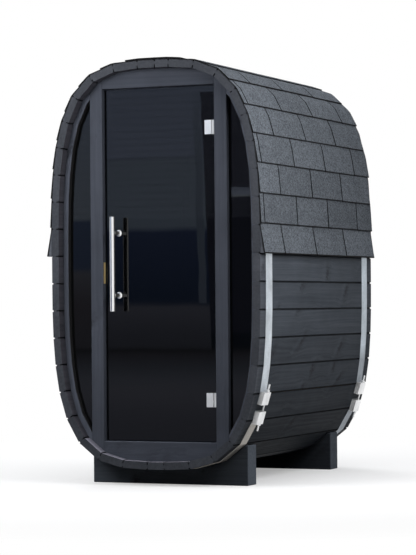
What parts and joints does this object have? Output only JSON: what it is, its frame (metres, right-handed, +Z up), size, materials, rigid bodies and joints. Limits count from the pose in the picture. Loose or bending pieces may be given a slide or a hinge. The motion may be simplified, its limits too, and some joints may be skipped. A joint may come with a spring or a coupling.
{
  "type": "oval stave sauna",
  "caption": "small outdoor sauna: a lying oval barrel of stained boards on two cradles, with a tinted glass door and side lights, a shingled roof and steel tension bands",
  "frame": {"origin": "on the ground under the middle of the whole, the door handle's reach included", "axes": "+X to the right of someone who faces the door, +Y from the glazed front to the back, +Z up"},
  "size_m": [1.191, 1.6215, 2.1185],
  "materials": {
    "stained_timber": "charcoal stain, sawn grain",
    "frame_timber": "planed, charcoal stain",
    "deck_timber": "planed, bare",
    "tinted_glass": "dark tint, polished",
    "bright_steel": "polished",
    "handle_timber": "dark stain",
    "hinge_metal": "satin",
    "strike_brass": "satin",
    "shingle": "mineral granules on bitumen felt",
    "galvanized": "hot-dip galvanized",
    "zinc": "bright zinc plate"
  },
  "bodies": {
    "cabin": {"bottom_boards": "stained_timber", "right_bend_boards": "stained_timber", "right_lower_boards": "stained_timber", "right_upper_boards": "stained_timber", "right_shoulder_boards": "stained_timber", "crown_boards": "stained_timber", "left_shoulder_boards": "stained_timber", "left_upper_boards": "stained_timber", "left_lower_boards": "stained_timber", "left_bend_boards": "stained_timber", "back_wall": "stained_timber", "floor_deck": "deck_timber", "left_door_post": "frame_timber", "right_door_post": "frame_timber", "header": "frame_timber", "sill": "frame_timber", "left_side_glass": "tinted_glass", "right_side_glass": "tinted_glass", "left_bead": "frame_timber", "right_bead": "frame_timber", "upper_hinge_bracket": "hinge_metal", "lower_hinge_bracket": "hinge_metal", "latch_strike": "strike_brass", "right_roof": "shingle", "left_roof": "shingle", "right_eaves_batten": "stained_timber", "left_eaves_batten": "stained_timber", "front_band": "galvanized", "front_upper_lug": "zinc", "front_lower_lug": "zinc", "front_tension_rod": "zinc", "rear_band": "galvanized", "rear_upper_lug": "zinc", "rear_lower_lug": "zinc", "rear_tension_rod": "zinc", "front_cradle": "stained_timber", "rear_cradle": "stained_timber"},
    "door": {"door_glass": "tinted_glass", "outer_handle": "bright_steel", "inner_handle": "handle_timber", "upper_hinge_plates": "hinge_metal", "lower_hinge_plates": "hinge_metal"}
  },
  "joints": [
    {"name": "door_hinge", "type": "hinge", "parent": "cabin", "child": "door", "pos_m": [0.2885, -0.71525, 1.1], "axis": [0, 0, 1], "range_deg": [0, 90]}
  ]
}
